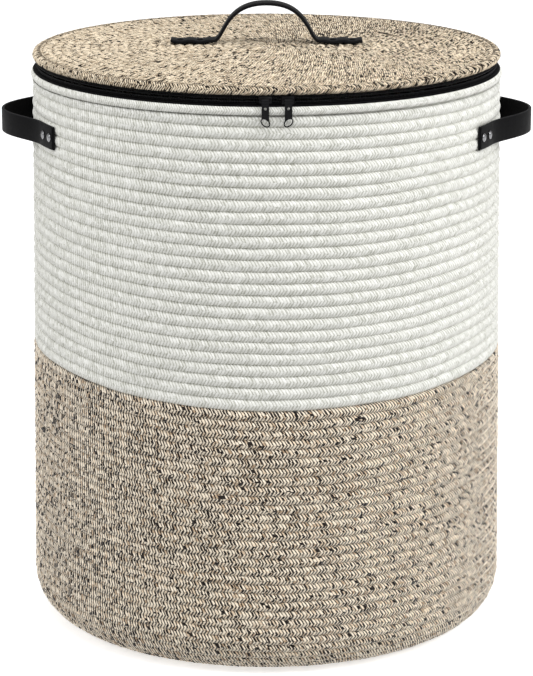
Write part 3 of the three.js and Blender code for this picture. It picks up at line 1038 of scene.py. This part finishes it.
def rivet_tree():
    """A domed cap with a flat rim on every point of the host, facing along its normal."""
    tree, nodes, given, result = new_geometry_tree("Rivet caps", RIVET_INPUTS)
    radius = nodes.out(given, "Radius")
    height = nodes.out(given, "Height")
    ball = nodes.add("GeometryNodeMeshUVSphere", {"Segments": 28, "Rings": 14, "Radius": 1.0})
    x, y, z = nodes.separated(nodes.add("GeometryNodeInputPosition").outputs[0])
    flat = z.do("MAXIMUM", 0.0)
    spread = radius * DOME_SHARE
    risen = flat * height * 0.8 + height * 0.2
    dome = nodes.add(
        "GeometryNodeSetPosition",
        {"Geometry": ball.outputs["Mesh"], "Position": nodes.combined(x * spread, y * spread, risen)},
    )
    flange = nodes.add(
        "GeometryNodeMeshCylinder", {"Vertices": 28, "Radius": radius, "Depth": height * FLANGE_SHARE}
    )
    raised = nodes.combined(0.0, 0.0, height * FLANGE_SHARE / 2.0)
    lifted = nodes.add(
        "GeometryNodeTransform", {"Geometry": flange.outputs["Mesh"], "Translation": raised}
    )
    cap = nodes.add("GeometryNodeJoinGeometry")
    nodes.feed(cap.inputs[0], dome.outputs[0])
    nodes.feed(cap.inputs[0], lifted.outputs[0])
    facing = nodes.add("GeometryNodeInputNamedAttribute", {"Name": "facing"}, data_type="FLOAT_VECTOR")
    turned = nodes.add("FunctionNodeAlignRotationToVector", {"Vector": facing.outputs[0]}, axis="Z")
    copies = nodes.add(
        "GeometryNodeInstanceOnPoints",
        {"Points": given.outputs["Geometry"], "Instance": cap.outputs[0], "Rotation": turned.outputs[0]},
    )
    nodes.close(given, result, copies.outputs[0])
    return tree


def rivet_caps(name, seats, radius, height, finish):
    """Caps on (point, facing) seats, as one plain mesh."""
    tree = bpy.data.node_groups.get("Rivet caps") or rivet_tree()
    mesh = mesh_of(name + "_seats", [point for point, _ in seats])
    facing = mesh.attributes.new("facing", "FLOAT_VECTOR", "POINT")
    for item, (_, direction) in zip(facing.data, seats):
        item.vector = direction
    host = new_object(name + "_seats", mesh)
    material = bpy.data.materials[finish]
    run_tree(host, tree, {"Radius": radius, "Height": height, "Material": material})
    return baked(host, name)


SIDE_CAP_RADIUS = 0.0036
CAP_HEIGHT = 0.0016
BACK_CAP_HEIGHT = 0.0014
WALL_THROUGH = 0.0077


class HAMPER_OT_rivets(bpy.types.Operator):
    """Set the rivets of the three handles"""

    bl_idname = "hamper.rivets"
    bl_label = "Rivets"

    def execute(self, context):
        seat = strap_seat(context.scene.hamper_leather)
        inner = UPPER_WALL[1][0] - WALL_THROUGH
        for side in SIDES:
            for label, distance_out, facing in (("rivet", seat, 1), ("rivet_back", inner, -1)):
                nodes = [f"side_{label}_{side}_{i}" for i in RIVETS]
                seats = []
                for node in nodes:
                    middle = node_middle(node)
                    flat = Vector((middle.x, middle.y, 0.0)).normalized()
                    place = flat * distance_out
                    place.z = middle.z
                    seats.append((place, flat * facing))
                name = f"side_{label}s_{side}"
                piece = rivet_caps(name, seats, SIDE_CAP_RADIUS, CAP_HEIGHT, "dark_nickel")
                finished(piece, "basket", "rivet_metal", nodes)
        for label, sunk, facing, height in (
            ("lid_rivet", CAP_HEIGHT, 1, CAP_HEIGHT), ("lid_rivet_back", 0.0, -1, BACK_CAP_HEIGHT)
        ):
            nodes = [f"{label}_{i}" for i in RIVETS]
            seats = []
            for node in nodes:
                place = node_middle(node)
                place.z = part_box(node)[1][2] - sunk
                seats.append((place, Vector((0, 0, facing))))
            piece = rivet_caps(f"{label}s", seats, LID_CAP_RADIUS, height, "black_enamel")
            finished(piece, "lid", "black_metal", nodes)
        return {"FINISHED"}


TEETH_INPUTS = (
    ("Radius", "NodeSocketFloat", 0.199),
    ("Height", "NodeSocketFloat", 0.0),
    ("From", "NodeSocketFloat", 0.0),
    ("To", "NodeSocketFloat", 1.0),
    ("Teeth", "NodeSocketInt", 700),
    ("Material", "NodeSocketMaterial", None),
)


def teeth_tree():
    """Short rounded loops of nylon, side by side on part of a circle."""
    tree, nodes, given, result = new_geometry_tree("Zip teeth", TEETH_INPUTS)
    value = {name: nodes.out(given, name) for name, _, _ in TEETH_INPUTS}
    line = nodes.add(
        "GeometryNodeMeshLine", {"Count": value["Teeth"], "Offset": (0.0, 0.0, 0.0)}, mode="OFFSET"
    )
    index = nodes.out(nodes.add("GeometryNodeInputIndex"))
    angle = value["From"] + (value["To"] - value["From"]) * index / (value["Teeth"] - 1.0)
    spot = nodes.combined(
        angle.do("SINE") * value["Radius"], angle.do("COSINE") * value["Radius"] * -1.0, value["Height"]
    )
    placed = nodes.add("GeometryNodeSetPosition", {"Geometry": line.outputs["Mesh"], "Position": spot})
    ball = nodes.add("GeometryNodeMeshUVSphere", {"Segments": 8, "Rings": 5, "Radius": 1.0})
    tooth = nodes.add(
        "GeometryNodeTransform", {"Geometry": ball.outputs["Mesh"], "Scale": (0.00062, 0.00112, 0.00078)}
    )
    turn = nodes.combined(0.0, 0.0, angle)
    copies = nodes.add(
        "GeometryNodeInstanceOnPoints",
        {"Points": placed.outputs[0], "Instance": tooth.outputs[0], "Rotation": turn},
    )
    nodes.close(given, result, copies.outputs[0])
    return tree


def softened(node, name, rounding):
    """A merged copy of a CAD node's mesh with its edges rounded, in black enamel."""
    work = bmesh.new()
    work.from_mesh(bpy.data.objects[node].data)
    bmesh.ops.remove_doubles(work, verts=work.verts, dist=1e-6)
    bmesh.ops.dissolve_limit(work, angle_limit=math.radians(2), verts=work.verts, edges=work.edges)
    mesh = bpy.data.meshes.new(name)
    work.to_mesh(mesh)
    work.free()
    source = new_object(name + "_sharp", mesh)
    bevel = source.modifiers.new("Rounded edges", "BEVEL")
    bevel.width = rounding
    bevel.segments = 3
    bevel.limit_method = "ANGLE"
    bevel.angle_limit = math.radians(35)
    piece = baked(source, name)
    smooth_faces(piece.data)
    piece.data.set_sharp_from_angle(angle=math.radians(50))
    paint(piece, "black_enamel")
    return piece


ZIP_GAP = math.radians(9.8)
TEETH_IN_A_ROW = 860
COIL_SETBACK = 0.0009


class HAMPER_OT_zip(bpy.types.Operator):
    """Fit the zip's tapes, teeth, stops, sliders and pulls"""

    bl_idname = "hamper.zip"
    bl_label = "Zip"

    def execute(self, context):
        for node in ("zip_tape_lower", "zip_tape_upper", "hinge_tape_lower", "hinge_tape_upper"):
            paint(bpy.data.objects[node], "zip_weave")
        tree = teeth_tree()
        for row, body in (("lower", "basket"), ("upper", "lid")):
            node = f"zip_teeth_{row}"
            low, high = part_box(node)
            host = new_object(node + "_line", mesh_of(node + "_line", [(0, 0, 0)]))
            run_tree(host, tree, {
                "Radius": -low[1] - COIL_SETBACK,
                "Height": (low[2] + high[2]) / 2,
                "From": ZIP_GAP - math.pi,
                "To": math.pi - ZIP_GAP,
                "Teeth": TEETH_IN_A_ROW,
                "Material": bpy.data.materials["coil_nylon"],
            })
            finished(baked(host, f"zip_coil_{row}"), body, "zip_nylon", [node])
            for side in SIDES:
                stop = f"zip_stop_{row}_{side}"
                piece = softened(stop, f"zip_end_{row}_{side}", 0.0004)
                finished(piece, body, "black_metal", [stop])
        for side in SIDES:
            for part, rounding in (("slider", 0.00035), ("pull", 0.00025)):
                node = f"zip_{part}_{side}"
                piece = softened(node, f"{part}_{side}", rounding)
                finished(piece, f"{part}_{side}", "black_metal", [node])
        return {"FINISHED"}


# ---- Stage ----
def area_light(name, place, target, size, power):
    lamp = bpy.data.lights.new(name, "AREA")
    lamp.shape = "RECTANGLE"
    lamp.size, lamp.size_y = size
    lamp.energy = power
    light = bpy.data.objects.new(name, lamp)
    light.location = place
    light.rotation_euler = (Vector(target) - Vector(place)).to_track_quat("-Z", "Y").to_euler()
    bpy.context.scene.collection.objects.link(light)


FLOOR_HALF = 15.0


class HAMPER_OT_stage(bpy.types.Operator):
    """Lay the floor, hang the lights and set the camera"""

    bl_idname = "hamper.stage"
    bl_label = "Stage"

    def execute(self, context):
        settings = context.scene.hamper_stage
        scene = context.scene
        half = FLOOR_HALF
        corners = [(-half, -half, 0), (half, -half, 0), (half, half, 0), (-half, half, 0)]
        floor = new_object("floor", mesh_of("floor", corners, (), [(0, 1, 2, 3)]))
        floor_finish("pale_floor", settings.floor_tone, settings.floor_glow)
        paint(floor, "pale_floor")
        floor.visible_diffuse = False
        world = bpy.data.worlds.new("studio")
        world.use_nodes = True
        scene.world = world
        background = world.node_tree.nodes["Background"]
        background.inputs["Color"].default_value = colour(WHITE)
        background.inputs["Strength"].default_value = settings.sky
        for name, place, aim, size, strength in (
            ("key", (2.5, -1.0, 1.9), 0.25, 1.4, settings.key),
            ("side", (-2.5, -0.8, 1.7), 0.25, 1.4, settings.side),
            ("overhead", (0.0, -1.1, 3.0), 0.3, 1.6, settings.overhead),
        ):
            area_light(name, place, (0, 0, aim), (size, size), strength)
        camera = bpy.data.objects.new("camera", bpy.data.cameras.new("camera"))
        camera.location = (0.0, -settings.camera_distance, settings.camera_height)
        camera.rotation_euler = (math.pi / 2 - settings.camera_tilt, 0.0, 0.0)
        camera.data.lens = settings.camera_lens
        camera.data.sensor_width = 36.0
        scene.collection.objects.link(camera)
        scene.camera = camera
        scene.view_settings.view_transform = "Standard"
        return {"FINISHED"}


class HAMPER_OT_finishes(bpy.types.Operator):
    """Mix the rope, leather, metal and nylon finishes"""

    bl_idname = "hamper.finishes"
    bl_label = "Finishes"

    def execute(self, context):
        settings = context.scene.hamper_leather
        cream = (1.0, 0.88, 0.71)
        pale = (0.93, 0.77, 0.58)
        tan = (0.52, 0.37, 0.24)
        dark = (0.020, 0.014, 0.011)
        heather = [(0.0, tan), (0.16, pale), (0.45, cream)]
        rope_finish(
            "heather_rope", heather, dark_yarn=dark, dark_share=0.22, shade=(0.012, 0.006, 0.003),
            clumping=0.5, strand_height=0.0008, groove_shade=0.15, gap_shade=1.2, fuzz=0.5,
        )
        lid_heather = [(0.0, (0.50, 0.39, 0.265)), (0.25, (0.74, 0.61, 0.44)), (0.7, (0.93, 0.80, 0.61))]
        rope_finish(
            "lid_heather_rope", lid_heather, dark_yarn=dark, dark_share=0.34, shade=(0.03, 0.02, 0.015),
            clumping=0.5, strand_height=0.0006, groove_shade=0.3, gap_shade=0.95, fuzz=0.0,
        )
        white = [(0.0, (0.71, 0.71, 0.67)), (0.5, (0.80, 0.80, 0.76)), (1.0, (0.85, 0.85, 0.815))]
        rope_finish(
            "cotton_rope", white, dark_yarn=(0.62, 0.62, 0.57), dark_share=0.14, shade=(0.58, 0.58, 0.53),
            clumping=0.6, strand_height=0.0003, groove_shade=0.1, gap_shade=0.6, fuzz=0.1,
        )
        woven_tape("zip_weave")
        nylon("coil_nylon")
        leather("handle_leather", settings.tone, settings.rubbed)
        metal("black_enamel", (0.003, 0.003, 0.0035), roughness=0.42, metallic=0.0, shine=0.10)
        metal("dark_nickel", (0.15, 0.15, 0.155), roughness=0.27, metallic=1.0, shine=0.5)
        return {"FINISHED"}


STEPS = (
    HAMPER_OT_finishes,
    HAMPER_OT_stage,
    HAMPER_OT_base,
    HAMPER_OT_wall,
    HAMPER_OT_rim,
    HAMPER_OT_lid,
    HAMPER_OT_zip,
    HAMPER_OT_side_handles,
    HAMPER_OT_lid_handle,
    HAMPER_OT_rivets,
)


class HAMPER_PT_panel(bpy.types.Panel):
    bl_label = "Rope Hamper"
    bl_idname = "HAMPER_PT_panel"
    bl_space_type = "VIEW_3D"
    bl_region_type = "UI"
    bl_category = "Hamper"

    def draw(self, context):
        for group in (context.scene.hamper_rope, context.scene.hamper_leather, context.scene.hamper_stage):
            box = self.layout.box()
            for key in group.__annotations__:
                box.prop(group, key)
        for step in STEPS:
            self.layout.operator(step.bl_idname)


CLASSES = (HamperRope, HamperLeather, HamperStage, *STEPS, HAMPER_PT_panel)


def register():
    for item in CLASSES:
        bpy.utils.register_class(item)
    bpy.types.Scene.hamper_rope = PointerProperty(type=HamperRope)
    bpy.types.Scene.hamper_leather = PointerProperty(type=HamperLeather)
    bpy.types.Scene.hamper_stage = PointerProperty(type=HamperStage)


def unregister():
    for name in ("hamper_rope", "hamper_leather", "hamper_stage"):
        delattr(bpy.types.Scene, name)
    for item in reversed(CLASSES):
        bpy.utils.unregister_class(item)


def main():
    register()
    for step in STEPS:
        group, action = step.bl_idname.split(".")
        getattr(getattr(bpy.ops, group), action)()


if __name__ == "__main__":
    main()
